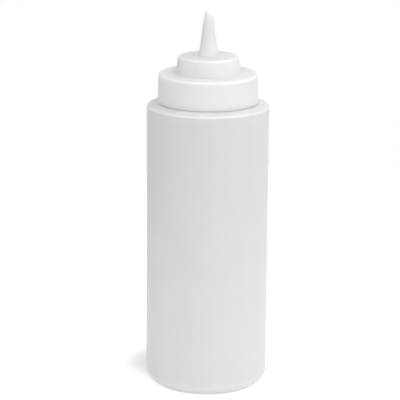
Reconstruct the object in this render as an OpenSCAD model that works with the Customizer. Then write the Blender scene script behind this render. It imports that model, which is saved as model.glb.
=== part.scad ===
// Wide-mouth squeeze sauce bottle with a stepped, cone-nozzle screw cap.
// Sizes are in millimetres. The origin is the centre of the base, and +Z is up.
// The bottle is a blow-moulded shell. The cap is one moulding: a threaded skirt, a narrower
// dome and an open cone nozzle. A flat foam ring seals the cap against the bottle's mouth.

/* [Bottle body] */
// Outside diameter of the body
body_d = 82.5; // [74:0.5:100]
// Height of the shoulder's outer corner, before it is rounded
shoulder_h = 194.4; // [80:0.2:260]
// Rise of the shoulder from its corner to the neck, in degrees
shoulder_slope = 17; // [6:1:30]
// Radius of the shoulder's outer corner
shoulder_r = 1.2; // [0.8:0.1:4]
// Radius of the heel, between the wall and the base
heel_r = 10.5; // [4:0.5:14]
// Thickness of the side wall and shoulder
wall = 1.2; // [0.8:0.1:1.5]
// Thickness of the base
base_wall = 1.7; // [1:0.1:2.5]

/* [Base] */
// Width of the flat ring that the bottle stands on
foot_w = 2; // [1:0.5:5]
// Height of the step inside the standing ring
foot_step = 1.8; // [0.8:0.1:3]
// Further rise of the shallow dome in the middle of the base
base_dome = 1.4; // [0.6:0.1:3]
// Length of the pinch-off seam across the base
pinch_l = 42; // [20:1:46]
// Width of the pinch-off seam
pinch_w = 1.2; // [0.6:0.1:2]
// Depth of the pinch-off seam below the dome
pinch_h = 0.5; // [0.2:0.1:0.8]

/* [Neck] */
// Outside diameter of the neck, without its thread
neck_d = 60.1; // [56:0.1:62]
// Height of the neck, from the shoulder to the mouth
neck_h = 15.6; // [14.5:0.1:20]
// Thickness of the neck's wall
neck_wall = 1.6; // [1.2:0.1:2]
// Radius where the neck meets the shoulder
neck_root_r = 0.8; // [0.3:0.1:1]
// Chamfer round the mouth
mouth_edge = 0.25; // [0.1:0.05:0.4]

/* [Thread] */
// Rise of the thread in one turn
pitch = 4.233; // [3.9:0.001:4.6]
// Turns of thread on the neck, and in the cap
thread_turns = 1.5; // [1:0.25:1.75]
// Reach of the neck's thread from the neck
neck_thread_reach = 1.25; // [1:0.05:1.4]
// Width of the neck's thread at its foot
neck_thread_foot = 2.4; // [1.8:0.1:2.6]
// Width of the neck's thread at its crest
neck_thread_crest = 0.9; // [0.5:0.1:1.1]
// Distance from the mouth down to the top of the thread
thread_drop = 1.5; // [1.2:0.1:2.5]
// Reach of the cap's thread from its bore
cap_thread_reach = 1.2; // [0.8:0.05:1.25]
// Width of the cap's thread at its foot
cap_thread_foot = 1.9; // [1.4:0.1:2.1]
// Width of the cap's thread at its crest
cap_thread_crest = 0.6; // [0.4:0.1:0.8]

/* [Cap skirt] */
// Thickness of the skirt's wall at its top
skirt_wall = 1.8; // [1.4:0.1:3]
// Growth of the skirt's radius from its top to its lower edge
skirt_draft = 0.6; // [0.3:0.05:1.2]
// Radius of the skirt's top corner
skirt_corner_r = 1.6; // [1:0.1:3]
// Thickness of the flat ring above the skirt
plate_t = 1.8; // [1.2:0.1:3]
// Height of the bead round the skirt's lower edge
bead_h = 1.5; // [1:0.1:3]
// Reach of that bead from the skirt
bead_out = 0.25; // [0.1:0.05:0.6]

/* [Cap dome] */
// Outside diameter of the dome at its foot
dome_d = 44.6; // [40:0.5:48]
// Loss of the dome's radius from its foot to its top
dome_draft = 2; // [0.5:0.1:4]
// Height of the dome above the skirt's top
dome_h = 11.8; // [8:0.2:20]
// Radius of the dome's top corner
dome_corner_r = 1.8; // [1:0.1:3.5]
// Radius where the dome meets the flat ring
dome_root_r = 1.8; // [0.3:0.1:2.5]
// Thickness of the dome's wall and top
dome_wall = 1.6; // [1:0.1:2]

/* [Cap nozzle] */
// Outside diameter of the nozzle at its foot
nozzle_d = 13.4; // [10:0.2:16]
// Outside diameter of the nozzle at its tip
tip_d = 4.9; // [4.6:0.1:7]
// Height of the nozzle above the dome
nozzle_h = 30.2; // [15:0.2:50]
// Radius round the nozzle's tip
tip_r = 1; // [0.3:0.1:1.1]
// Radius where the nozzle meets the dome
nozzle_root_r = 1.4; // [0.3:0.1:2]
// Thickness of the nozzle's wall at its foot
nozzle_wall = 1.4; // [1:0.1:2]
// Diameter of the hole in the tip
orifice_d = 2.6; // [1.5:0.1:2.6]
// Length of the straight hole in the tip
orifice_l = 2.5; // [1:0.5:6]

/* [Seal ring] */
// Thickness of the foam ring between the cap and the mouth
seal_t = 1.2; // [0.8:0.1:2]
// Depth of the cap's plug below the mouth
plug_depth = 3; // [1:0.1:5]
// Thickness of the plug's wall
plug_wall = 1.5; // [1:0.1:2]

/* [Clearances] */
// Height of the skirt's inner lower edge above the shoulder
cap_gap = 0.2; // [0.1:0.1:2]
// Gap between the cap's bore and the crest of the neck's thread
thread_side_gap = 0.35; // [0.3:0.05:0.5]
// Gap between the two threads when the cap is tight, along the axis
thread_flank_gap = 0.3; // [0.2:0.05:0.5]
// Gap between the plug and the mouth
plug_gap = 0.3; // [0.2:0.05:0.5]
// Gap between the foam ring and the wall on each side of it
seal_side_gap = 0.4; // [0.2:0.05:0.6]
// Gap between the foam ring and the bead that keeps it in the cap
keeper_gap = 0.1; // [0.05:0.05:0.3]

/* [Hidden] */
$fn = 128;

// Steps in each round of an outline, and of the thread in one turn
arc_steps = 8;
turn_steps = 48;
// Depth to which a thread's foot is set into its wall
thread_sink = 0.5;
// Turn over which a thread rises out of its wall at each end, in degrees
thread_fade = 35;
// Bulge of a thread's crest
crest_bulge = 0.12;
// Turn by which the cap's thread starts below the neck's, in degrees
cap_thread_lead = 90;
// Overlap of the keeper bead with the foam ring's edge, and the bead's height
keeper_hold = 0.25;
keeper_h = 0.6;
// Least radius of the shoulder's and dome's inner corners
least_inner_r = 0.4;
// Chamfer on the lower edges of the skirt and plug
lip_edge = 0.3;
// Wider mouth of the skirt below its thread
entry_out = 1;
entry_h = 3;

body_r = body_d / 2;
neck_r = neck_d / 2;
mouth_r = neck_r - neck_wall;
neck_base_z = shoulder_h + tan(shoulder_slope) * (body_r - neck_r);
mouth_z = neck_base_z + neck_h;
inner_corner_r = max(least_inner_r, shoulder_r - wall);

foot_out_r = body_r - heel_r;
foot_in_r = foot_out_r - foot_w;
foot_step_r = foot_in_r - foot_step;
base_top_z = foot_step + base_dome;

plate_z = mouth_z + seal_t;
skirt_top_z = plate_z + plate_t;
cap_bore_r = neck_r + neck_thread_reach + thread_side_gap;
skirt_top_r = cap_bore_r + skirt_wall;
skirt_low_r = skirt_top_r + skirt_draft;
skirt_in_r = cap_bore_r + entry_out;
skirt_low_z = shoulder_z_at(skirt_in_r) + cap_gap;

dome_r = dome_d / 2;
dome_top_z = skirt_top_z + dome_h;
dome_lean = atan(dome_draft / dome_h);
nozzle_r = nozzle_d / 2;
nozzle_top_r = tip_d / 2;
nozzle_top_z = dome_top_z + nozzle_h;
nozzle_lean = atan((nozzle_r - nozzle_top_r) / nozzle_h);
skirt_lean = atan(skirt_draft / (skirt_top_z - skirt_low_z));
orifice_r = orifice_d / 2;
orifice_z = nozzle_top_z - orifice_l;

plug_r = mouth_r - plug_gap;
plug_low_z = mouth_z - plug_depth;
seal_in_r = plug_r + seal_side_gap;
seal_out_r = cap_bore_r - seal_side_gap;
keeper_r = seal_out_r - keeper_hold;

neck_thread_low_z = mouth_z - thread_drop - neck_thread_foot / 2 - pitch * thread_turns;
neck_thread_half = flank_half(neck_thread_foot, neck_thread_crest, neck_thread_reach);
cap_thread_half = flank_half(cap_thread_foot, cap_thread_crest, cap_thread_reach);
thread_apart = neck_thread_half + cap_thread_half + thread_flank_gap;
cap_thread_low_z = neck_thread_low_z - thread_apart - pitch * cap_thread_lead / 360;

// Height of the shoulder's outer face at a radius
function shoulder_z_at(r) = shoulder_h + tan(shoulder_slope) * (body_r - r);

// Half of a thread's width, half way up its flank
function flank_half(foot, crest, reach) =
    (foot - (foot - crest) * (thread_sink + reach / 2) / (thread_sink + reach)) / 2;

// Centre of a round in the shoulder's corner, on the outside or a wall's thickness inside it
function shoulder_corner(inset, round_r) =
    let (r = body_r - inset - round_r)
    [r, shoulder_z_at(r) - (inset + round_r) / cos(shoulder_slope)];

// Points of a round stretch, about a centre, from one angle to another
function arc(centre, r, from, to) = [
    for (i = [0 : arc_steps])
        let (a = from + (to - from) * i / arc_steps)
        centre + r * [cos(a), sin(a)]
];

// Points of the base's shallow dome, from its middle to a radius, raised by a thickness
function dome_points(rim_r, low_z, rise) =
    let (ball_r = (rim_r * rim_r + rise * rise) / (2 * rise))
    [
        for (i = [0 : arc_steps])
            let (r = rim_r * i / arc_steps)
            [r, low_z + rise - ball_r + sqrt(ball_r * ball_r - r * r)]
    ];

// Centre of a rounded top corner between a leaning wall and a flat top
function corner_centre(foot_r, foot_z, lean, top_z, r) =
    [foot_r - tan(lean) * (top_z - r - foot_z) - r / cos(lean), top_z - r];

// Centre of a rounded root between a flat top and a leaning wall
function root_centre(foot_r, foot_z, lean, r) =
    [foot_r - tan(lean) * r + r / cos(lean), foot_z + r];

// Outer face of the bottle, from the middle of the base to the mouth
function bottle_outside() =
    let (
        root_x = neck_r + neck_root_r,
        root = [root_x, shoulder_z_at(root_x) + neck_root_r / cos(shoulder_slope)]
    )
    concat(
        dome_points(foot_step_r, foot_step, base_dome),
        [[foot_in_r, 0]],
        arc([foot_out_r, heel_r], heel_r, -90, 0),
        arc(shoulder_corner(0, shoulder_r), shoulder_r, 0, 90 - shoulder_slope),
        arc(root, neck_root_r, 270 - shoulder_slope, 180),
        [[neck_r, mouth_z - mouth_edge], [neck_r - mouth_edge, mouth_z]]
    );

// Inner face of the bottle, from the mouth to the middle of the base
function bottle_inside() =
    let (
        corner = shoulder_corner(wall, inner_corner_r),
        dome = dome_points(foot_step_r, foot_step + base_wall, base_dome),
        throat_z = shoulder_z_at(mouth_r) - wall / cos(shoulder_slope),
        heel = heel_r - wall
    )
    concat(
        [[mouth_r + mouth_edge, mouth_z], [mouth_r, mouth_z - mouth_edge], [mouth_r, throat_z]],
        arc(corner, inner_corner_r, 90 - shoulder_slope, 0),
        arc([foot_out_r, base_wall + heel], heel, 0, -90),
        [[foot_in_r, base_wall]],
        [for (i = [arc_steps : -1 : 0]) dome[i]]
    );

// Cap, from the skirt's lower edge up the outside to the tip, and back down the inside
function cap_section() =
    let (
        skirt_corner = corner_centre(skirt_low_r, skirt_low_z, skirt_lean, skirt_top_z, skirt_corner_r),
        dome_corner = corner_centre(dome_r, skirt_top_z, dome_lean, dome_top_z, dome_corner_r),
        dome_root = root_centre(dome_r, skirt_top_z, dome_lean, dome_root_r),
        nozzle_root = root_centre(nozzle_r, dome_top_z, nozzle_lean, nozzle_root_r),
        tip = corner_centre(nozzle_r, dome_top_z, nozzle_lean, nozzle_top_z, tip_r),
        hollow_r = max(least_inner_r, dome_corner_r - dome_wall),
        hollow_foot_r = dome_r - dome_wall / cos(dome_lean),
        hollow_top_z = dome_top_z - dome_wall,
        hollow_corner = corner_centre(hollow_foot_r, skirt_top_z, dome_lean, hollow_top_z, hollow_r),
        bead_r = skirt_low_r + bead_out,
        bead_top_z = skirt_low_z + bead_h
    )
    concat(
        [[skirt_in_r, skirt_low_z], [bead_r - lip_edge, skirt_low_z]],
        [[bead_r, skirt_low_z + lip_edge], [bead_r - bead_out / 3, bead_top_z - lip_edge]],
        [[skirt_low_r - tan(skirt_lean) * bead_h, bead_top_z]],
        arc(skirt_corner, skirt_corner_r, skirt_lean, 90),
        arc(dome_root, dome_root_r, 270, 180 + dome_lean),
        arc(dome_corner, dome_corner_r, dome_lean, 90),
        arc(nozzle_root, nozzle_root_r, 270, 180 + nozzle_lean),
        arc(tip, tip_r, nozzle_lean, 90),
        [[orifice_r, nozzle_top_z], [orifice_r, orifice_z], [nozzle_r - nozzle_wall, hollow_top_z]],
        arc(hollow_corner, hollow_r, 90, dome_lean),
        [[dome_r - dome_wall, plate_z], [plug_r - plug_wall, plate_z]],
        [[plug_r - plug_wall, plug_low_z], [plug_r - lip_edge, plug_low_z]],
        [[plug_r, plug_low_z + lip_edge * 2], [plug_r, plate_z], [cap_bore_r, plate_z]],
        [[cap_bore_r, mouth_z - keeper_gap]],
        [[keeper_r, mouth_z - keeper_gap - keeper_h / 3]],
        [[cap_bore_r, mouth_z - keeper_gap - keeper_h]],
        [[cap_bore_r, skirt_low_z + entry_h]]
    );

// Helical ridge on a round wall. Side is 1 for an outer thread and -1 for an inner one.
module thread(wall_r, side, reach, foot, crest, low_z, first_angle) {
    steps = ceil(turn_steps * thread_turns);
    angle_step = 360 * thread_turns / steps;
    // How far out of the wall the ridge stands, from 0 at its ends to 1
    function risen(i) = min(1, min(i, steps - i) * angle_step / thread_fade);
    function top_r(i) = wall_r + side * (reach * risen(i) - thread_sink / 2 * (1 - risen(i)));
    section = [for (i = [0 : steps]) [
        [wall_r - side * thread_sink, -foot / 2],
        [top_r(i) - side * crest_bulge, -crest / 2],
        [top_r(i), 0],
        [top_r(i) - side * crest_bulge, crest / 2],
        [wall_r - side * thread_sink, foot / 2]
    ]];
    n = len(section[0]);
    points = [
        for (i = [0 : steps], p = section[i])
            let (a = first_angle + angle_step * i)
            [p[0] * cos(a), p[0] * sin(a), low_z + pitch * angle_step * i / 360 + p[1]]
    ];
    sides = [
        for (i = [0 : steps - 1], j = [0 : n - 1], half = [0, 1])
            let (a = i * n + j, b = i * n + (j + 1) % n, c = a + n, d = b + n)
            half == 0 ? [a, b, d] : [a, d, c]
    ];
    ends = [[for (j = [n - 1 : -1 : 0]) j], [for (j = [0 : n - 1]) steps * n + j]];
    faces = concat(sides, ends);
    polyhedron(points, side > 0 ? faces : [for (f = faces) [for (k = [len(f) - 1 : -1 : 0]) f[k]]]);
}

// Seam left across the base where the mould pinches the plastic off
module pinch_seam() {
    dome = dome_points(foot_step_r, foot_step, base_dome);
    intersection() {
        translate([-pinch_l / 2, -pinch_w / 2, 0])
            cube([pinch_l, pinch_w, base_top_z + base_wall]);
        rotate_extrude()
            polygon(concat(
                [for (p = dome) p - [0, pinch_h]],
                [for (i = [arc_steps : -1 : 0]) dome[i] + [0, base_wall / 2]]
            ));
    }
}

// Blow-moulded bottle, with its base, shoulder and threaded neck
module bottle() {
    color([0.88, 0.88, 0.87, 0.75]) {
        rotate_extrude() polygon(concat(bottle_outside(), bottle_inside()));
        pinch_seam();
        thread(neck_r, 1, neck_thread_reach, neck_thread_foot, neck_thread_crest, neck_thread_low_z, 0);
    }
}

// Flat foam ring, kept in the cap, that the mouth presses on
module seal_ring() {
    color([0.93, 0.93, 0.9])
        rotate_extrude()
            translate([seal_in_r, mouth_z])
                square([seal_out_r - seal_in_r, seal_t]);
}

// Moulded cap: threaded skirt, plug, dome and cone nozzle
module nozzle_cap() {
    color([0.95, 0.95, 0.94]) {
        rotate_extrude() polygon(cap_section());
        thread(cap_bore_r, -1, cap_thread_reach, cap_thread_foot, cap_thread_crest,
            cap_thread_low_z, -cap_thread_lead);
    }
}

bottle();
seal_ring();
nozzle_cap();
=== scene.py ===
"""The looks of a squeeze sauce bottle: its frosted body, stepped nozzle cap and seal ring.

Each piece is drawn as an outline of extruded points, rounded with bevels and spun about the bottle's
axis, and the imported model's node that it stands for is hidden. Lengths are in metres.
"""

import math

import bmesh
import bpy
from bpy.props import FloatProperty, FloatVectorProperty, IntProperty, PointerProperty
from mathutils import Matrix, Vector


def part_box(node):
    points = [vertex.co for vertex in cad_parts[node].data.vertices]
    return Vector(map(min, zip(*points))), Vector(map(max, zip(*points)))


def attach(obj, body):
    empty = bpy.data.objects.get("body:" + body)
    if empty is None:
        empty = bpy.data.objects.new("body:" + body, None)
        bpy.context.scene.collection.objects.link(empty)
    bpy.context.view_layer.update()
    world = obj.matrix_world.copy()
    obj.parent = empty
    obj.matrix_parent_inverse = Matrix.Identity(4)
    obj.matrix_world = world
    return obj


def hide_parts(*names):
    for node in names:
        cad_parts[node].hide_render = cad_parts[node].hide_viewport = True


bl_info = {
    "name": "Squeeze sauce bottle",
    "version": (1, 0, 0),
    "blender": (4, 5, 0),
    "location": "3D View > Sidebar > Sauce bottle",
    "description": "Builds a frosted squeeze bottle with a stepped nozzle cap",
    "category": "Add Mesh",
}

MM = 0.001

# Points nearer than this are one point
SAME_PLACE = 0.001 * MM
# Segments of an arc of 1 mm radius, for each radian that it turns, and the fewest of any arc
ARC_SEGMENTS = 4
LEAST_SEGMENTS = 3
# Edges sharper than this stay sharp when a piece is smoothed
SHARP_ANGLE = math.radians(32)
# Height that the lamps point at, and how far from there they are
LAMP_AIM = 0.13
LAMP_DISTANCE = 1.6
# Width of the camera's sensor in millimetres, which the lens goes with
SENSOR_WIDTH = 36

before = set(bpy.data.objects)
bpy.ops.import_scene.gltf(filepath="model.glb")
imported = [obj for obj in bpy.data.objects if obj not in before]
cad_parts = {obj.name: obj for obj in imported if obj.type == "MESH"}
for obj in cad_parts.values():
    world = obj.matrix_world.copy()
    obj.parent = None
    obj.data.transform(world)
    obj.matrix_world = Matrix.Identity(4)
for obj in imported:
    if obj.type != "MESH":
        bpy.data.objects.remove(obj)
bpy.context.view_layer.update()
BOTTLE_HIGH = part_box("bottle")[1]
SEAL_LOW, SEAL_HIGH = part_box("seal_ring")
CAP_LOW, CAP_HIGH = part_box("nozzle_cap")


def length(name, default, description):
    """A property that holds a length."""
    return FloatProperty(name=name, description=description, default=default, unit="LENGTH",
                         subtype="DISTANCE", precision=5)


def angle(name, degrees, description):
    """A property that holds an angle."""
    return FloatProperty(name=name, description=description, default=math.radians(degrees),
                         unit="ROTATION", subtype="ANGLE")


def colour(name, default, description):
    """A property that holds a linear colour."""
    return FloatVectorProperty(name=name, description=description, default=default, size=3,
                               subtype="COLOR", min=0, max=1)


class BottleSizes(bpy.types.PropertyGroup):
    """Sizes of the blow-moulded bottle and of its thread."""

    body_radius: length("Body radius", BOTTLE_HIGH.x, "Outside radius of the body")
    shoulder_height: length("Shoulder height", 194.4 * MM, "Height of the shoulder's corner, unrounded")
    shoulder_slope: angle("Shoulder slope", 17, "Rise of the shoulder towards the neck")
    shoulder_round: length("Shoulder round", 1.2 * MM, "Radius of the shoulder's corner")
    heel_round: length("Heel round", 10.5 * MM, "Radius between the wall and the base")
    least_inner_round: length("Least inner round", 0.4 * MM, "Least radius of the shoulder inside")
    wall: length("Wall", 1.2 * MM, "Thickness of the wall and shoulder")
    base_wall: length("Base wall", 1.7 * MM, "Thickness of the base")
    foot_width: length("Foot width", 2 * MM, "Width of the ring that the bottle stands on")
    foot_round: length("Foot round", 0.6 * MM, "Radius of the foot's inner edge")
    foot_step: length("Foot step", 1.8 * MM, "Height of the step inside the foot")
    step_round: length("Step round", 1.2 * MM, "Radius where that step meets the dome")
    base_dome: length("Base dome", 1.4 * MM, "Rise of the dome in the base")
    pinch_length: length("Pinch length", 42 * MM, "Length of the pinch-off seam under the base")
    pinch_width: length("Pinch width", 1.2 * MM, "Width of the pinch-off seam")
    pinch_depth: length("Pinch depth", 0.5 * MM, "Depth of the pinch-off seam below the dome")
    neck_radius: length("Neck radius", 30.05 * MM, "Outside radius of the neck")
    neck_wall: length("Neck wall", 1.6 * MM, "Thickness of the neck")
    neck_round: length("Neck round", 0.8 * MM, "Radius where the neck meets the shoulder")
    throat_round: length("Throat round", 0.5 * MM, "Radius where the neck opens into the body")
    mouth_round: length("Mouth round", 0.25 * MM, "Radius round the mouth's edges")
    mouth_height: length("Mouth height", BOTTLE_HIGH.z, "Height of the mouth")
    thread_drop: length("Thread drop", 1.5 * MM, "From the mouth down to the thread")
    thread_reach: length("Thread reach", 1.25 * MM, "Reach of the thread from the neck")
    thread_foot: length("Thread foot", 2.4 * MM, "Width of the thread at its foot")
    thread_crest: length("Thread crest", 0.9 * MM, "Width of the thread at its crest")
    parting_width: length("Parting line width", 0.5 * MM, "Width of the mould's parting line")
    parting_height: length("Parting line height", 0.1 * MM, "Height of the mould's parting line")
    lathe_steps: IntProperty(name="Lathe steps", description="Sides of each circle", default=192)


class CapSizes(bpy.types.PropertyGroup):
    """Sizes of the moulded cap and of its thread."""

    low: length("Lower edge", CAP_LOW.z, "Height of the skirt's lower edge")
    tip: length("Tip", CAP_HIGH.z, "Height of the nozzle's tip")
    bead_radius: length("Bead radius", CAP_HIGH.x, "Radius of the bead round the lower edge")
    bead_out: length("Bead reach", 0.25 * MM, "Reach of the bead from the skirt")
    bead_height: length("Bead height", 1.5 * MM, "Height of the bead")
    bead_round: length("Bead round", 0.2 * MM, "Radius of the bead's top edge")
    bead_root: length("Bead root", 0.12 * MM, "Radius where the bead meets the skirt")
    edge_round: length("Lower edge round", 0.15 * MM, "Radius of the skirt's lower outer edge")
    skirt_draft: length("Skirt draft", 0.6 * MM, "Growth of the skirt's radius to its lower edge")
    skirt_round: length("Skirt round", 1.6 * MM, "Radius of the skirt's top corner")
    plate: length("Plate", 1.8 * MM, "Thickness of the flat ring above the skirt")
    entry_out: length("Entry", 1 * MM, "Widening of the skirt's mouth")
    entry_height: length("Entry height", 3 * MM, "Height of the widened mouth")
    entry_round: length("Entry round", 0.1 * MM, "Radius of the skirt's lower inner edge")
    dome_radius: length("Dome radius", 22.3 * MM, "Radius of the dome at its foot")
    dome_draft: length("Dome draft", 2 * MM, "Loss of the dome's radius to its top")
    dome_height: length("Dome height", 11.8 * MM, "Height of the dome above the skirt")
    dome_round: length("Dome round", 1.8 * MM, "Radius of the dome's top corner")
    dome_inner_round: length("Dome inner round", 0.4 * MM, "Radius of the dome's inner corners")
    dome_root: length("Dome root", 1.8 * MM, "Radius where the dome meets the flat ring")
    dome_wall: length("Dome wall", 1.6 * MM, "Thickness of the dome")
    nozzle_radius: length("Nozzle radius", 6.7 * MM, "Radius of the nozzle at its foot")
    tip_radius: length("Tip radius", 2.45 * MM, "Radius of the nozzle at its tip")
    tip_round: length("Tip round", 1 * MM, "Radius round the tip's edge")
    nozzle_root: length("Nozzle root", 1.4 * MM, "Radius where the nozzle meets the dome")
    nozzle_wall: length("Nozzle wall", 1.4 * MM, "Thickness of the nozzle at its foot")
    orifice_radius: length("Orifice radius", 1.3 * MM, "Radius of the hole in the tip")
    orifice_length: length("Orifice length", 2.5 * MM, "Length of the straight hole in the tip")
    orifice_round: length("Orifice round", 0.12 * MM, "Radius round the hole's edge")
    bore_round: length("Bore round", 0.5 * MM, "Radius of the corners inside the nozzle")
    plug_gap: length("Plug gap", 0.3 * MM, "Gap between the plug and the mouth")
    plug_depth: length("Plug depth", 3 * MM, "Depth of the plug below the mouth")
    plug_wall: length("Plug wall", 1.5 * MM, "Thickness of the plug")
    plug_round: length("Plug round", 0.4 * MM, "Radius of the plug's lower outer edge")
    plug_inner_round: length("Plug inner round", 0.2 * MM, "Radius of the plug's inner corners")
    keeper_hold: length("Keeper hold", 0.25 * MM, "Overlap of the bead that keeps the seal ring in")
    keeper_height: length("Keeper height", 0.6 * MM, "Height of that bead")
    keeper_gap: length("Keeper gap", 0.1 * MM, "Gap between that bead and the seal ring")
    thread_side_gap: length("Side gap", 0.35 * MM, "Gap over the crest of the bottle's thread")
    thread_flank_gap: length("Flank gap", 0.3 * MM, "Gap between the threads when tight")
    thread_lead: angle("Thread lead", 90, "Turn by which the cap's thread starts lower")
    thread_reach: length("Thread reach", 1.2 * MM, "Reach of the thread from the bore")
    thread_foot: length("Thread foot", 1.9 * MM, "Width of the thread at its foot")
    thread_crest: length("Thread crest", 0.6 * MM, "Width of the thread at its crest")
    lathe_steps: IntProperty(name="Lathe steps", description="Sides of each circle", default=160)


class SealSizes(bpy.types.PropertyGroup):
    """Sizes of the seal ring, which fills the space between the mouth and the cap's flat ring."""

    low: length("Lower face", SEAL_LOW.z, "Height of the ring's lower face")
    high: length("Upper face", SEAL_HIGH.z, "Height of the ring's upper face")
    radius: length("Radius", SEAL_HIGH.x, "Outside radius of the ring")
    plug_gap: length("Gap to the plug", 0.4 * MM, "Gap between the cap's plug and the ring")
    edge_round: length("Edge round", 0.3 * MM, "Radius of the ring's edges")
    lathe_steps: IntProperty(name="Lathe steps", description="Sides of each circle", default=128)


class ThreadSizes(bpy.types.PropertyGroup):
    """What the bottle's and the cap's threads share."""

    pitch: length("Pitch", 4.233 * MM, "Rise of the thread in one turn")
    turns: FloatProperty(name="Turns", description="Turns of thread", default=1.5)
    sink: length("Sink", 0.5 * MM, "Depth of the thread's foot in its wall")
    bulge: length("Bulge", 0.12 * MM, "Bulge of the thread's crest")
    fade: angle("Fade", 35, "Turn over which the thread rises out of its wall")
    steps_per_turn: IntProperty(name="Steps", description="Steps of the thread in a turn", default=72)


class FinishColours(bpy.types.PropertyGroup):
    """Colours of the plastics."""

    bottle: colour("Bottle", (0.875, 0.845, 0.852), "Natural frosted polyethylene")
    cap: colour("Cap", (0.965, 0.94, 0.89), "White polyethylene")
    seal: colour("Seal ring", (0.84, 0.84, 0.80), "Polyethylene foam")


class StudioSettings(bpy.types.PropertyGroup):
    """Camera, floor and light."""

    camera_distance: length("Camera distance", 1.641, "From the bottle's axis, along the floor")
    camera_height: length("Camera height", 0.546, "Above the floor")
    camera_pitch: angle("Camera pitch", 14.29, "Tilt down")
    camera_yaw: angle("Camera yaw", 0.174, "Turn to the left, which puts the bottle right of centre")
    camera_roll: angle("Camera roll", 0.4, "Roll of the camera")
    lens: FloatProperty(name="Lens", description="Focal length in millimetres on a 36 mm sensor",
                        default=223.6)
    floor_size: length("Floor size", 1.2, "Side of the floor")
    # The floor's shadow is painted into the white that the camera sees, at a set place
    shadow_place: FloatVectorProperty(name="Shadow place", description="Middle of the floor's shadow",
                                      default=(-0.013, 0.04, 0), size=3, subtype="TRANSLATION")
    shadow_radius: length("Shadow radius", 0.058, "Reach of the floor's shadow from its middle")
    shadow_depth: FloatProperty(name="Shadow depth", description="White that the shadow loses",
                                default=0.38)
    table_glow: FloatProperty(name="Table glow", description="Light that comes up through the floor",
                              default=1.1)
    glow_radius: length("Glow radius", 0.14, "Radius of the ring where the floor glows most")
    floor_white: FloatProperty(name="Floor white", description="Whiteness of the floor", default=0.75)
    floor_lift: FloatProperty(name="Floor lift", description="White added to the floor for the camera",
                              default=0.5)
    world_level: FloatProperty(name="World level", description="Light from all round", default=0.5)
    sky_level: FloatProperty(name="Sky level", description="More light from the right", default=0.37)
    sky_bearing: angle("Sky bearing", 70, "Where that light comes from, to the right of the camera")
    sky_rise: angle("Sky rise", 30, "Where that light comes from, above the floor")
    key_level: FloatProperty(name="Key level", description="Light from the right", default=0.26)
    front_level: FloatProperty(name="Front level", description="Light from the front", default=0.26)
    fill_level: FloatProperty(name="Fill level", description="Light from the left", default=0.22)
    back_level: FloatProperty(name="Back level", description="Light from behind", default=0.33)


# Modelling


def leave_edit_mode():
    """Goes back to object mode with nothing selected."""
    if bpy.context.object and bpy.context.object.mode != "OBJECT":
        bpy.ops.object.mode_set(mode="OBJECT")
    bpy.ops.object.select_all(action="DESELECT")


def start_outline(name, radius, height):
    """A new mesh of one point, in edit mode, at a radius and height."""
    leave_edit_mode()
    bpy.ops.mesh.primitive_plane_add(size=MM)
    piece = bpy.context.object
    piece.name = name
    piece.data.name = name
    bpy.ops.object.mode_set(mode="EDIT")
    bpy.ops.mesh.select_all(action="SELECT")
    bpy.ops.mesh.merge(type="CENTER")
    bpy.ops.transform.translate(value=(radius, 0, height))
    return piece


def select_points(piece, wanted):
    """Selects the points of a mesh in edit mode for which wanted says yes."""
    bpy.ops.mesh.select_all(action="DESELECT")
    mesh = bmesh.from_edit_mesh(piece.data)
    for point in mesh.verts:
        if wanted(point):
            point.select_set(True)
    bmesh.update_edit_mesh(piece.data)


def round_corner(piece, before, corner, after, radius):
    """Bevels one corner of an outline to an arc of that radius."""
    place = Vector((corner[0], 0, corner[1]))
    inward = (place - Vector((before[0], 0, before[1]))).normalized()
    outward = (Vector((after[0], 0, after[1])) - place).normalized()
    turn = inward.angle(outward)
    select_points(piece, lambda point: (point.co - place).length < 2 * SAME_PLACE)
    segments = max(LEAST_SEGMENTS, math.ceil(turn * math.sqrt(radius / MM) * ARC_SEGMENTS))
    bpy.ops.mesh.bevel(offset=radius * math.tan(turn / 2), segments=segments, affect="VERTICES")


def draw_outline(name, corners, closed):
    """Extrudes a point from corner to corner, and rounds the corners. Each is (radius, height, round).

    The outline stays in edit mode.
    """
    piece = start_outline(name, *corners[0][:2])
    path = corners + corners[:1] if closed else corners
    for (r0, z0, _), (r1, z1, _) in zip(path, path[1:]):
        bpy.ops.mesh.extrude_region_move(TRANSFORM_OT_translate={"value": (r1 - r0, 0, z1 - z0)})
    bpy.ops.mesh.select_all(action="SELECT")
    bpy.ops.mesh.remove_doubles(threshold=SAME_PLACE)
    for i, corner in enumerate(corners):
        if corner[2] > 0:
            round_corner(piece, corners[i - 1], corner, corners[(i + 1) % len(corners)], corner[2])
    return piece


def turn_on_lathe(steps):
    """Spins the outline that is in edit mode into a closed solid about Z, and leaves edit mode."""
    bpy.ops.mesh.select_all(action="SELECT")
    bpy.ops.mesh.spin(steps=steps, angle=2 * math.pi, center=(0, 0, 0), axis=(0, 0, 1))
    bpy.ops.mesh.select_all(action="SELECT")
    bpy.ops.mesh.remove_doubles(threshold=SAME_PLACE)
    bpy.ops.mesh.normals_make_consistent(inside=False)
    bpy.ops.object.mode_set(mode="OBJECT")


def apply_modifier(piece, modifier):
    """Applies one modifier of a piece."""
    leave_edit_mode()
    piece.select_set(True)
    bpy.context.view_layer.objects.active = piece
    bpy.ops.object.modifier_apply(modifier=modifier.name)


def fuse(piece, other):
    """Joins another closed solid into a piece."""
    union = piece.modifiers.new("union", "BOOLEAN")
    union.operation = "UNION"
    union.solver = "EXACT"
    union.object = other
    apply_modifier(piece, union)
    bpy.data.objects.remove(other)


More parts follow.
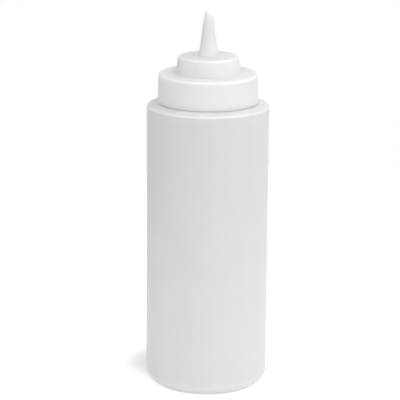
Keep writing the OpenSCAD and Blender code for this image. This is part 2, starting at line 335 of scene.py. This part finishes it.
def finish_piece(piece, body, material):
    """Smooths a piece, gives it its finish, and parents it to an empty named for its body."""
    leave_edit_mode()
    piece.select_set(True)
    bpy.context.view_layer.objects.active = piece
    bpy.ops.object.shade_smooth_by_angle(angle=SHARP_ANGLE)
    piece.data.materials.clear()
    piece.data.materials.append(material)
    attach(piece, body)


def thread_ridge(name, wall_radius, side, sizes, thread, low, first_angle):
    """A helical ridge on a round wall, rising out of the wall at each end. Side is 1 outside, -1 inside."""
    foot_radius = wall_radius - side * thread.sink
    top = wall_radius + side * sizes.thread_reach
    section = [
        (foot_radius, low - sizes.thread_foot / 2, 0),
        (top - side * thread.bulge, low - sizes.thread_crest / 2, 0),
        (top, low, 0),
        (top - side * thread.bulge, low + sizes.thread_crest / 2, 0),
        (foot_radius, low + sizes.thread_foot / 2, 0),
    ]
    piece = draw_outline(name, section, closed=True)
    bpy.ops.object.mode_set(mode="OBJECT")
    around = len(piece.data.vertices)
    steps = math.ceil(thread.steps_per_turn * thread.turns)
    screw = piece.modifiers.new("screw", "SCREW")
    screw.axis = "Z"
    screw.angle = 2 * math.pi * thread.turns
    screw.screw_offset = thread.pitch * thread.turns
    screw.steps = steps
    screw.render_steps = steps
    apply_modifier(piece, screw)
    rings = len(piece.data.vertices) // around
    step_angle = 2 * math.pi * thread.turns / (rings - 1)
    # Near each end, all but the ridge's foot is drawn into the wall
    for i, point in enumerate(piece.data.vertices):
        ring = i // around
        risen = min(1, min(ring, rings - 1 - ring) * step_angle / thread.fade)
        radius = math.hypot(point.co.x, point.co.y)
        if abs(radius - foot_radius) > 10 * SAME_PLACE:
            drawn_in = radius - side * (1 - risen) * (sizes.thread_reach + thread.sink / 2)
            point.co.x *= drawn_in / radius
            point.co.y *= drawn_in / radius
    piece.rotation_euler.z = first_angle
    bpy.ops.object.transform_apply(location=False, rotation=True, scale=False)
    bpy.ops.object.mode_set(mode="EDIT")
    bpy.ops.mesh.select_all(action="SELECT")
    bpy.ops.mesh.fill_holes(sides=around)
    bpy.ops.mesh.normals_make_consistent(inside=False)
    bpy.ops.object.mode_set(mode="OBJECT")
    return piece


def half_width(sizes, thread):
    """Half of a thread's width, half way up its flank."""
    share = (thread.sink + sizes.thread_reach / 2) / (thread.sink + sizes.thread_reach)
    return (sizes.thread_foot - (sizes.thread_foot - sizes.thread_crest) * share) / 2


def bottle_thread_low(bottle, thread):
    """Height of the lowest point of the bottle's thread, at the middle of its width."""
    return bottle.mouth_height - bottle.thread_drop - bottle.thread_foot / 2 - thread.pitch * thread.turns


def shoulder_z(bottle, radius):
    """Height of the shoulder's outer face at a radius."""
    return bottle.shoulder_height + math.tan(bottle.shoulder_slope) * (bottle.body_radius - radius)


def dome_z(bottle, radius):
    """Height of the base's outer dome at a radius."""
    rim = bottle.body_radius - bottle.heel_round - bottle.foot_width - bottle.foot_step
    ball = (rim**2 + bottle.base_dome**2) / (2 * bottle.base_dome)
    return bottle.foot_step + bottle.base_dome - ball + math.sqrt(ball**2 - radius**2)


def bottle_corners(b):
    """Corners of the bottle's section, from the middle of the base out, up and back down inside."""
    foot_out = b.body_radius - b.heel_round
    foot_in = foot_out - b.foot_width
    rim = foot_in - b.foot_step
    bore = b.neck_radius - b.neck_wall
    inner = b.body_radius - b.wall
    slant = b.wall / math.cos(b.shoulder_slope)
    steps = 8
    dome = [(rim * i / steps, dome_z(b, rim * i / steps), 0) for i in range(steps)]
    return (
        dome
        + [
            (rim, b.foot_step, b.step_round),
            (foot_in, 0, b.foot_round),
            (b.body_radius, 0, b.heel_round),
            (b.body_radius, b.shoulder_height, b.shoulder_round),
            (b.neck_radius, shoulder_z(b, b.neck_radius), b.neck_round),
            (b.neck_radius, b.mouth_height, b.mouth_round),
            (bore, b.mouth_height, b.mouth_round),
            (bore, shoulder_z(b, bore) - slant, b.throat_round),
            (inner, shoulder_z(b, inner) - slant, max(b.least_inner_round, b.shoulder_round - b.wall)),
            (inner, b.base_wall, b.heel_round - b.wall),
            (foot_in, b.base_wall, b.foot_round),
            (rim, b.foot_step + b.base_wall, b.step_round),
        ]
        + [(r, z + b.base_wall, 0) for r, z, _ in reversed(dome)]
    )


def raise_parting_line(piece, b):
    """Raises the fine line that the two halves of the mould leave down the bottle's sides."""
    middle = Vector((0, 0, b.mouth_height / 2))
    above_foot = 0.2 * MM
    neck_z = shoulder_z(b, b.neck_radius)

    def on_line(point):
        outside = point.normal.dot(point.co - middle) > 0
        return outside and abs(point.co.y) < SAME_PLACE and above_foot < point.co.z < neck_z

    bpy.context.view_layer.objects.active = piece
    bpy.ops.object.mode_set(mode="EDIT")
    select_points(piece, on_line)
    bpy.ops.mesh.select_mode(type="EDGE")
    bpy.ops.mesh.bevel(offset=b.parting_width / 2, segments=2, affect="EDGES")
    bpy.ops.mesh.select_mode(type="VERT")
    select_points(piece, on_line)
    bpy.ops.transform.shrink_fatten(value=b.parting_height)
    bpy.ops.object.mode_set(mode="OBJECT")


def pinch_seam(b):
    """The bar that the mould leaves where it pinches off the plastic under the base, bent to the dome."""
    lengths, widths = 28, 2
    leave_edit_mode()
    bpy.ops.mesh.primitive_grid_add(x_subdivisions=lengths, y_subdivisions=widths, size=1)
    piece = bpy.context.object
    for point in piece.data.vertices:
        x, y = point.co.x * b.pinch_length, point.co.y * b.pinch_width
        point.co = (x, y, dome_z(b, abs(x)) - b.pinch_depth)
    thick = piece.modifiers.new("thick", "SOLIDIFY")
    thick.thickness = b.pinch_depth + b.base_wall / 2
    thick.offset = 1
    apply_modifier(piece, thick)
    soft = piece.modifiers.new("soft", "BEVEL")
    soft.width = b.pinch_depth / 3
    soft.segments = 2
    soft.limit_method = "ANGLE"
    apply_modifier(piece, soft)
    return piece


def cap_bore(c, b):
    """Radius inside the cap's skirt."""
    return b.neck_radius + b.thread_reach + c.thread_side_gap


def plug_radius(c, b):
    """Outside radius of the cap's plug."""
    return b.neck_radius - b.neck_wall - c.plug_gap


def cap_corners(c, b, seal):
    """Corners of the cap's section, from the skirt's lower edge up outside, and back down inside.

    The skirt's lower edge slopes as the shoulder does. The seal ring sits under the plate, between the
    plug and the keeper, a low bead inside the skirt.
    """
    plate_z = seal.high
    top = plate_z + c.plate
    bore = cap_bore(c, b)
    keeper = seal.radius - c.keeper_hold
    keeper_z = b.mouth_height - c.keeper_gap
    skirt_low = c.bead_radius - c.bead_out
    skirt_top = skirt_low - c.skirt_draft
    lean = c.skirt_draft / (top - c.low)
    bead_top = c.low + c.bead_height
    edge_drop = math.tan(b.shoulder_slope) * (c.bead_radius - bore - c.entry_out)
    dome_top = top + c.dome_height
    dome_top_radius = c.dome_radius - c.dome_draft
    plug = plug_radius(c, b)
    plug_low = b.mouth_height - c.plug_depth
    return [
        (bore + c.entry_out, c.low, c.entry_round),
        (c.bead_radius, c.low - edge_drop, c.edge_round),
        (c.bead_radius - c.bead_out / 3, bead_top, c.bead_round),
        (skirt_low - lean * c.bead_height, bead_top, c.bead_root),
        (skirt_top, top, c.skirt_round),
        (c.dome_radius, top, c.dome_root),
        (dome_top_radius, dome_top, c.dome_round),
        (c.nozzle_radius, dome_top, c.nozzle_root),
        (c.tip_radius, c.tip, c.tip_round),
        (c.orifice_radius, c.tip, c.orifice_round),
        (c.orifice_radius, c.tip - c.orifice_length, c.bore_round),
        (c.nozzle_radius - c.nozzle_wall, dome_top - c.dome_wall, c.bore_round),
        (dome_top_radius - c.dome_wall, dome_top - c.dome_wall, c.dome_inner_round),
        (c.dome_radius - c.dome_wall, plate_z, c.dome_inner_round),
        (plug - c.plug_wall, plate_z, c.plug_inner_round),
        (plug - c.plug_wall, plug_low, c.plug_inner_round),
        (plug, plug_low, c.plug_round),
        (plug, plate_z, 0),
        (bore, plate_z, 0),
        (bore, keeper_z, 0),
        (keeper, keeper_z - c.keeper_height / 3, 0),
        (bore, keeper_z - c.keeper_height, 0),
        (bore, c.low + c.entry_height, 0),
    ]


# Finishes


def add_node(tree, kind, place, **values):
    """A node of that kind, with the named sockets or settings given values."""
    node = tree.nodes.new(kind)
    node.location = place
    for key, value in values.items():
        if key in node.inputs:
            node.inputs[key].default_value = value
        else:
            setattr(node, key, value)
    return node


def moulded_plastic_group():
    """Grain, flow marks and a faint mottle of moulded polyethylene, as one group."""
    tree = bpy.data.node_groups.new("Moulded plastic", "ShaderNodeTree")
    for name, kind, default in (
        ("Color", "NodeSocketColor", (0.8, 0.8, 0.8, 1)),
        ("Mottle", "NodeSocketFloat", 0.05),
        ("Roughness", "NodeSocketFloat", 0.4),
        ("Roughness Spread", "NodeSocketFloat", 0.08),
        ("Grain Scale", "NodeSocketFloat", 900),
        ("Grain Depth", "NodeSocketFloat", 0.2),
        ("Wave Depth", "NodeSocketFloat", 0.5),
    ):
        socket = tree.interface.new_socket(name, in_out="INPUT", socket_type=kind)
        socket.default_value = default
    for name, kind in (("Color", "NodeSocketColor"), ("Roughness", "NodeSocketFloat"),
                       ("Height", "NodeSocketFloat")):
        tree.interface.new_socket(name, in_out="OUTPUT", socket_type=kind)
    given = add_node(tree, "NodeGroupInput", (-900, 0))
    result = add_node(tree, "NodeGroupOutput", (500, 0))
    place = add_node(tree, "ShaderNodeTexCoord", (-1100, -300))
    stretch = add_node(tree, "ShaderNodeMapping", (-900, -300))
    stretch.inputs["Scale"].default_value = (1, 1, 0.12)
    streaks = add_node(tree, "ShaderNodeTexNoise", (-650, -200), Scale=95, Detail=3)
    clouds = add_node(tree, "ShaderNodeTexNoise", (-650, -450), Scale=28, Detail=2)
    grain = add_node(tree, "ShaderNodeTexNoise", (-650, -700), Detail=2)
    link = tree.links.new
    link(place.outputs["Object"], stretch.inputs["Vector"])
    link(stretch.outputs["Vector"], streaks.inputs["Vector"])
    link(place.outputs["Object"], clouds.inputs["Vector"])
    link(place.outputs["Object"], grain.inputs["Vector"])
    link(given.outputs["Grain Scale"], grain.inputs["Scale"])
    mixed = add_node(tree, "ShaderNodeMath", (-400, -250), operation="ADD")
    link(streaks.outputs["Fac"], mixed.inputs[0])
    link(clouds.outputs["Fac"], mixed.inputs[1])
    centred = add_node(tree, "ShaderNodeMath", (-220, -250), operation="SUBTRACT")
    centred.inputs[1].default_value = 1
    link(mixed.outputs[0], centred.inputs[0])
    shade = add_node(tree, "ShaderNodeMath", (-40, -150), operation="MULTIPLY_ADD")
    shade.inputs[2].default_value = 1
    link(centred.outputs[0], shade.inputs[0])
    link(given.outputs["Mottle"], shade.inputs[1])
    tint = add_node(tree, "ShaderNodeVectorMath", (160, 50), operation="SCALE")
    link(given.outputs["Color"], tint.inputs[0])
    link(shade.outputs[0], tint.inputs["Scale"])
    link(tint.outputs[0], result.inputs["Color"])
    rough = add_node(tree, "ShaderNodeMath", (160, -150), operation="MULTIPLY_ADD")
    link(centred.outputs[0], rough.inputs[0])
    link(given.outputs["Roughness Spread"], rough.inputs[1])
    link(given.outputs["Roughness"], rough.inputs[2])
    link(rough.outputs[0], result.inputs["Roughness"])
    waves = add_node(tree, "ShaderNodeMath", (-40, -400), operation="MULTIPLY")
    link(clouds.outputs["Fac"], waves.inputs[0])
    link(given.outputs["Wave Depth"], waves.inputs[1])
    height = add_node(tree, "ShaderNodeMath", (160, -450), operation="MULTIPLY_ADD")
    link(grain.outputs["Fac"], height.inputs[0])
    link(given.outputs["Grain Depth"], height.inputs[1])
    link(waves.outputs[0], height.inputs[2])
    link(height.outputs[0], result.inputs["Height"])
    return tree


def plastic(name, group, tint, surface, shader):
    """A material of moulded plastic. surface sets the group's inputs, and shader the Principled BSDF's."""
    material = bpy.data.materials.new(name)
    material.use_nodes = True
    tree = material.node_tree
    tree.nodes.clear()
    out = add_node(tree, "ShaderNodeOutputMaterial", (500, 0))
    skin = add_node(tree, "ShaderNodeBsdfPrincipled", (200, 0), **shader)
    finish = add_node(tree, "ShaderNodeGroup", (-300, 0))
    finish.node_tree = group
    finish.inputs["Color"].default_value = (*tint, 1)
    for key, value in surface.items():
        finish.inputs[key].default_value = value
    bump = add_node(tree, "ShaderNodeBump", (0, -250), Strength=0.25, Distance=0.05 * MM)
    link = tree.links.new
    link(finish.outputs["Color"], skin.inputs["Base Color"])
    link(finish.outputs["Roughness"], skin.inputs["Roughness"])
    link(finish.outputs["Height"], bump.inputs["Height"])
    link(bump.outputs["Normal"], skin.inputs["Normal"])
    link(skin.outputs["BSDF"], out.inputs["Surface"])
    return material


def shared_group():
    """The moulded plastic group, made once."""
    return bpy.data.node_groups.get("Moulded plastic") or moulded_plastic_group()


# Stage


def add_camera(studio):
    """The camera, placed as the photograph was taken."""
    data = bpy.data.cameras.new("Camera")
    data.lens = studio.lens
    data.sensor_width = SENSOR_WIDTH
    camera = bpy.data.objects.new("Camera", data)
    bpy.context.scene.collection.objects.link(camera)
    place = Matrix.Translation((0, -studio.camera_distance, studio.camera_height))
    turn = Matrix.Rotation(studio.camera_yaw, 4, "Z")
    tilt = Matrix.Rotation(math.pi / 2 - studio.camera_pitch, 4, "X")
    roll = Matrix.Rotation(studio.camera_roll, 4, "Z")
    camera.matrix_world = place @ turn @ tilt @ roll
    bpy.context.scene.camera = camera


def add_lamp(name, bearing, rise, size, level):
    """A soft square lamp, at angles in degrees to the right of the camera and above the bottle's middle.

    The level is how bright the lamp makes a white face that is turned to it. Gloss doesn't show the lamp,
    because it shows the white surroundings.
    """
    data = bpy.data.lights.new(name, "AREA")
    data.size = size
    data.energy = level * (math.pi * LAMP_DISTANCE) ** 2
    lamp = bpy.data.objects.new(name, data)
    lamp.visible_glossy = False
    bpy.context.scene.collection.objects.link(lamp)
    turn = Matrix.Rotation(math.radians(bearing), 4, "Z")
    tilt = Matrix.Rotation(math.radians(90 - rise), 4, "X")
    middle = Matrix.Translation((0, 0, LAMP_AIM))
    lamp.matrix_world = middle @ turn @ tilt @ Matrix.Translation((0, 0, LAMP_DISTANCE))


def seen_directly(tree, place):
    """A socket that is 1 for camera, glossy and transmitted rays, and 0 for the rays that light things."""
    path = add_node(tree, "ShaderNodeLightPath", place)
    either = add_node(tree, "ShaderNodeMath", (place[0] + 200, place[1]), operation="MAXIMUM")
    any_of = add_node(tree, "ShaderNodeMath", (place[0] + 400, place[1]), operation="MAXIMUM")
    link = tree.links.new
    link(path.outputs["Is Camera Ray"], either.inputs[0])
    link(path.outputs["Is Glossy Ray"], either.inputs[1])
    link(either.outputs[0], any_of.inputs[0])
    link(path.outputs["Is Transmission Ray"], any_of.inputs[1])
    return any_of.outputs[0]


def studio_world(studio):
    """A white background, and soft light from all round that is strongest from the right."""
    world = bpy.data.worlds.new("Studio")
    bpy.context.scene.world = world
    world.use_nodes = True
    tree = world.node_tree
    tree.nodes.clear()
    out = add_node(tree, "ShaderNodeOutputWorld", (600, 0))
    mix = add_node(tree, "ShaderNodeMixShader", (400, 0))
    white = add_node(tree, "ShaderNodeBackground", (200, -150), Strength=1, Color=(1, 1, 1, 1))
    soft = add_node(tree, "ShaderNodeBackground", (200, 150), Color=(1, 1, 1, 1))
    direction = add_node(tree, "ShaderNodeTexCoord", (-600, 300))
    bearing, rise = studio.sky_bearing, studio.sky_rise
    towards = add_node(tree, "ShaderNodeVectorMath", (-400, 300), operation="DOT_PRODUCT")
    towards.inputs[1].default_value = (
        math.cos(rise) * math.sin(bearing), -math.cos(rise) * math.cos(bearing), math.sin(rise))
    facing = add_node(tree, "ShaderNodeMath", (-200, 300), operation="MAXIMUM")
    facing.inputs[1].default_value = 0
    level = add_node(tree, "ShaderNodeMath", (0, 300), operation="MULTIPLY_ADD")
    level.inputs[1].default_value = studio.sky_level
    level.inputs[2].default_value = studio.world_level
    link = tree.links.new
    link(direction.outputs["Generated"], towards.inputs[0])
    link(towards.outputs["Value"], facing.inputs[0])
    link(facing.outputs[0], level.inputs[0])
    link(level.outputs[0], soft.inputs["Strength"])
    link(seen_directly(tree, (-400, 0)), mix.inputs["Fac"])
    link(soft.outputs[0], mix.inputs[1])
    link(white.outputs[0], mix.inputs[2])
    link(mix.outputs[0], out.inputs["Surface"])


def floor_material(studio):
    """A pale floor, glowing in a ring round the bottle, that the camera sees white with a painted shadow.
    """
    material = bpy.data.materials.new("Studio floor")
    material.use_nodes = True
    tree = material.node_tree
    tree.nodes.clear()
    out = add_node(tree, "ShaderNodeOutputMaterial", (800, 0))
    matt = add_node(tree, "ShaderNodeBsdfDiffuse", (400, 100), Color=(*[studio.floor_white] * 3, 1))
    glow = add_node(tree, "ShaderNodeEmission", (400, -100))
    both = add_node(tree, "ShaderNodeAddShader", (600, 0))
    seen = seen_directly(tree, (-600, 0))
    lift = add_node(tree, "ShaderNodeMath", (0, 0), operation="MULTIPLY")
    # Painted shadow: the camera's white is lowered in a soft disc at a set place near the bottle's foot
    shade_place = add_node(tree, "ShaderNodeMapping", (-600, 300), vector_type="TEXTURE")
    shade_place.inputs["Location"].default_value = studio.shadow_place
    shade_place.inputs["Scale"].default_value = [studio.shadow_radius] * 3
    shade = add_node(tree, "ShaderNodeTexGradient", (-400, 300), gradient_type="SPHERICAL")
    white = add_node(tree, "ShaderNodeMapRange", (-200, 300), interpolation_type="SMOOTHSTEP")
    # Value of the gradient, 1 in the middle and 0 at the edge, from which the painted shadow is full
    full_shade_at = 0.5
    white.inputs["From Max"].default_value = full_shade_at
    white.inputs["To Min"].default_value = studio.floor_lift
    white.inputs["To Max"].default_value = studio.floor_lift - studio.shadow_depth
    # Value where the other gradient is folded back, so that a ring glows most
    fold_at = 0.5
    spot_place = add_node(tree, "ShaderNodeTexCoord", (-800, -300))
    spot_size = add_node(tree, "ShaderNodeMapping", (-600, -300))
    spot_size.inputs["Scale"].default_value = [fold_at / studio.glow_radius] * 3
    spot = add_node(tree, "ShaderNodeTexGradient", (-400, -300), gradient_type="SPHERICAL")
    ring = add_node(tree, "ShaderNodeMath", (-300, -450), operation="PINGPONG")
    ring.inputs[1].default_value = fold_at
    from_below = add_node(tree, "ShaderNodeMath", (-200, -300), operation="MULTIPLY")
    from_below.inputs[1].default_value = studio.table_glow
    unseen = add_node(tree, "ShaderNodeMath", (0, -150), operation="SUBTRACT")
    unseen.inputs[0].default_value = 1
    strength = add_node(tree, "ShaderNodeMath", (200, -150), operation="MULTIPLY_ADD")
    link = tree.links.new
    link(spot_place.outputs["Object"], shade_place.inputs["Vector"])
    link(shade_place.outputs["Vector"], shade.inputs["Vector"])
    link(shade.outputs["Fac"], white.inputs["Value"])
    link(seen, lift.inputs[0])
    link(white.outputs["Result"], lift.inputs[1])
    link(seen, unseen.inputs[1])
    link(spot_place.outputs["Object"], spot_size.inputs["Vector"])
    link(spot_size.outputs["Vector"], spot.inputs["Vector"])
    link(spot.outputs["Fac"], ring.inputs[0])
    link(ring.outputs[0], from_below.inputs[0])
    link(from_below.outputs[0], strength.inputs[0])
    link(unseen.outputs[0], strength.inputs[1])
    link(lift.outputs[0], strength.inputs[2])
    link(strength.outputs[0], glow.inputs["Strength"])
    link(matt.outputs[0], both.inputs[0])
    link(glow.outputs[0], both.inputs[1])
    link(both.outputs[0], out.inputs["Surface"])
    return material


# Operators


class SAUCE_OT_bottle(bpy.types.Operator):
    """Add the frosted, blow-moulded bottle with its threaded neck"""

    bl_idname = "sauce.bottle"
    bl_label = "Bottle"
    bl_options = {"REGISTER", "UNDO"}

    def execute(self, context):
        b = context.scene.sauce_bottle
        thread = context.scene.sauce_thread
        piece = draw_outline("frosted_bottle", bottle_corners(b), closed=False)
        turn_on_lathe(b.lathe_steps)
        raise_parting_line(piece, b)
        fuse(piece, pinch_seam(b))
        low = bottle_thread_low(b, thread)
        fuse(piece, thread_ridge("neck_thread", b.neck_radius, 1, b, thread, low, 0))
        material = plastic(
            "Frosted polyethylene", shared_group(), context.scene.sauce_colours.bottle,
            {"Mottle": 0.05, "Roughness": 0.6, "Roughness Spread": 0.1, "Grain Depth": 0.3},
            {"Subsurface Weight": 1.0, "Subsurface Radius": (1, 1, 1), "Subsurface Scale": 6 * MM,
             "IOR": 1.5, "Specular IOR Level": 0.3},
        )
        finish_piece(piece, "bottle", material)
        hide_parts("bottle")
        return {"FINISHED"}


class SAUCE_OT_cap(bpy.types.Operator):
    """Add the stepped screw cap with its plug and cone nozzle"""

    bl_idname = "sauce.cap"
    bl_label = "Nozzle cap"
    bl_options = {"REGISTER", "UNDO"}

    def execute(self, context):
        b = context.scene.sauce_bottle
        c = context.scene.sauce_cap
        thread = context.scene.sauce_thread
        outline = cap_corners(c, b, context.scene.sauce_seal)
        piece = draw_outline("stepped_nozzle_cap", outline, closed=True)
        turn_on_lathe(c.lathe_steps)
        apart = half_width(b, thread) + half_width(c, thread) + c.thread_flank_gap
        low = bottle_thread_low(b, thread) - apart - thread.pitch * c.thread_lead / (2 * math.pi)
        fuse(piece, thread_ridge("cap_thread", cap_bore(c, b), -1, c, thread, low, -c.thread_lead))
        material = plastic(
            "White polyethylene", shared_group(), context.scene.sauce_colours.cap,
            {"Mottle": 0.02, "Roughness": 0.45, "Roughness Spread": 0.06, "Grain Depth": 0.15,
             "Wave Depth": 0.2},
            {"Subsurface Weight": 1.0, "Subsurface Radius": (1, 1, 1), "Subsurface Scale": 7 * MM,
             "IOR": 1.5, "Specular IOR Level": 0.35},
        )
        finish_piece(piece, "cap", material)
        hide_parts("nozzle_cap")
        return {"FINISHED"}


class SAUCE_OT_seal_ring(bpy.types.Operator):
    """Add the foam ring that seals the cap on the mouth"""

    bl_idname = "sauce.seal_ring"
    bl_label = "Seal ring"
    bl_options = {"REGISTER", "UNDO"}

    def execute(self, context):
        seal = context.scene.sauce_seal
        inner = plug_radius(context.scene.sauce_cap, context.scene.sauce_bottle) + seal.plug_gap
        corners = [
            (inner, seal.low, seal.edge_round),
            (seal.radius, seal.low, seal.edge_round),
            (seal.radius, seal.high, seal.edge_round),
            (inner, seal.high, seal.edge_round),
        ]
        piece = draw_outline("foam_seal_ring", corners, closed=True)
        turn_on_lathe(seal.lathe_steps)
        material = plastic(
            "Polyethylene foam", shared_group(), context.scene.sauce_colours.seal,
            {"Mottle": 0.08, "Roughness": 0.85, "Roughness Spread": 0.1, "Grain Scale": 2600,
             "Grain Depth": 1.0},
            {"Subsurface Weight": 0.2, "Subsurface Radius": (1, 1, 1), "Subsurface Scale": 1 * MM},
        )
        finish_piece(piece, "seal", material)
        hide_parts("seal_ring")
        return {"FINISHED"}


class SAUCE_OT_stage(bpy.types.Operator):
    """Add the camera, the lamps, the world and the white floor"""

    bl_idname = "sauce.stage"
    bl_label = "Stage"
    bl_options = {"REGISTER", "UNDO"}

    def execute(self, context):
        studio = context.scene.sauce_studio
        add_camera(studio)
        studio_world(studio)
        add_lamp("Key lamp", bearing=58, rise=36, size=1.7, level=studio.key_level)
        add_lamp("Front lamp", bearing=10, rise=38, size=1.2, level=studio.front_level)
        add_lamp("Fill lamp", bearing=-30, rise=30, size=0.8, level=studio.fill_level)
        add_lamp("Back lamp", bearing=175, rise=12, size=1.2, level=studio.back_level)
        leave_edit_mode()
        bpy.ops.mesh.primitive_plane_add(size=studio.floor_size)
        floor = bpy.context.object
        floor.name = "floor"
        floor.data.materials.append(floor_material(studio))
        context.scene.view_settings.view_transform = "Standard"
        return {"FINISHED"}


class SAUCE_PT_panel(bpy.types.Panel):
    """Panel that lists the pieces"""

    bl_label = "Sauce bottle"
    bl_idname = "SAUCE_PT_panel"
    bl_space_type = "VIEW_3D"
    bl_region_type = "UI"
    bl_category = "Sauce bottle"

    def draw(self, context):
        for operator in (SAUCE_OT_stage, SAUCE_OT_bottle, SAUCE_OT_cap, SAUCE_OT_seal_ring):
            self.layout.operator(operator.bl_idname)


GROUPS = {
    "sauce_bottle": BottleSizes,
    "sauce_cap": CapSizes,
    "sauce_seal": SealSizes,
    "sauce_thread": ThreadSizes,
    "sauce_colours": FinishColours,
    "sauce_studio": StudioSettings,
}
CLASSES = (SAUCE_OT_stage, SAUCE_OT_bottle, SAUCE_OT_cap, SAUCE_OT_seal_ring, SAUCE_PT_panel)


def register():
    """Registers the classes and hangs the settings on the scene."""
    for name, group in GROUPS.items():
        bpy.utils.register_class(group)
        setattr(bpy.types.Scene, name, PointerProperty(type=group))
    for cls in CLASSES:
        bpy.utils.register_class(cls)


def unregister():
    """Takes the classes and settings away again."""
    for cls in reversed(CLASSES):
        bpy.utils.unregister_class(cls)
    for name, group in reversed(GROUPS.items()):
        delattr(bpy.types.Scene, name)
        bpy.utils.unregister_class(group)


def main():
    """Builds the whole scene."""
    register()
    bpy.ops.sauce.stage()
    bpy.ops.sauce.bottle()
    bpy.ops.sauce.cap()
    bpy.ops.sauce.seal_ring()
    leave_edit_mode()


if __name__ == "__main__":
    main()
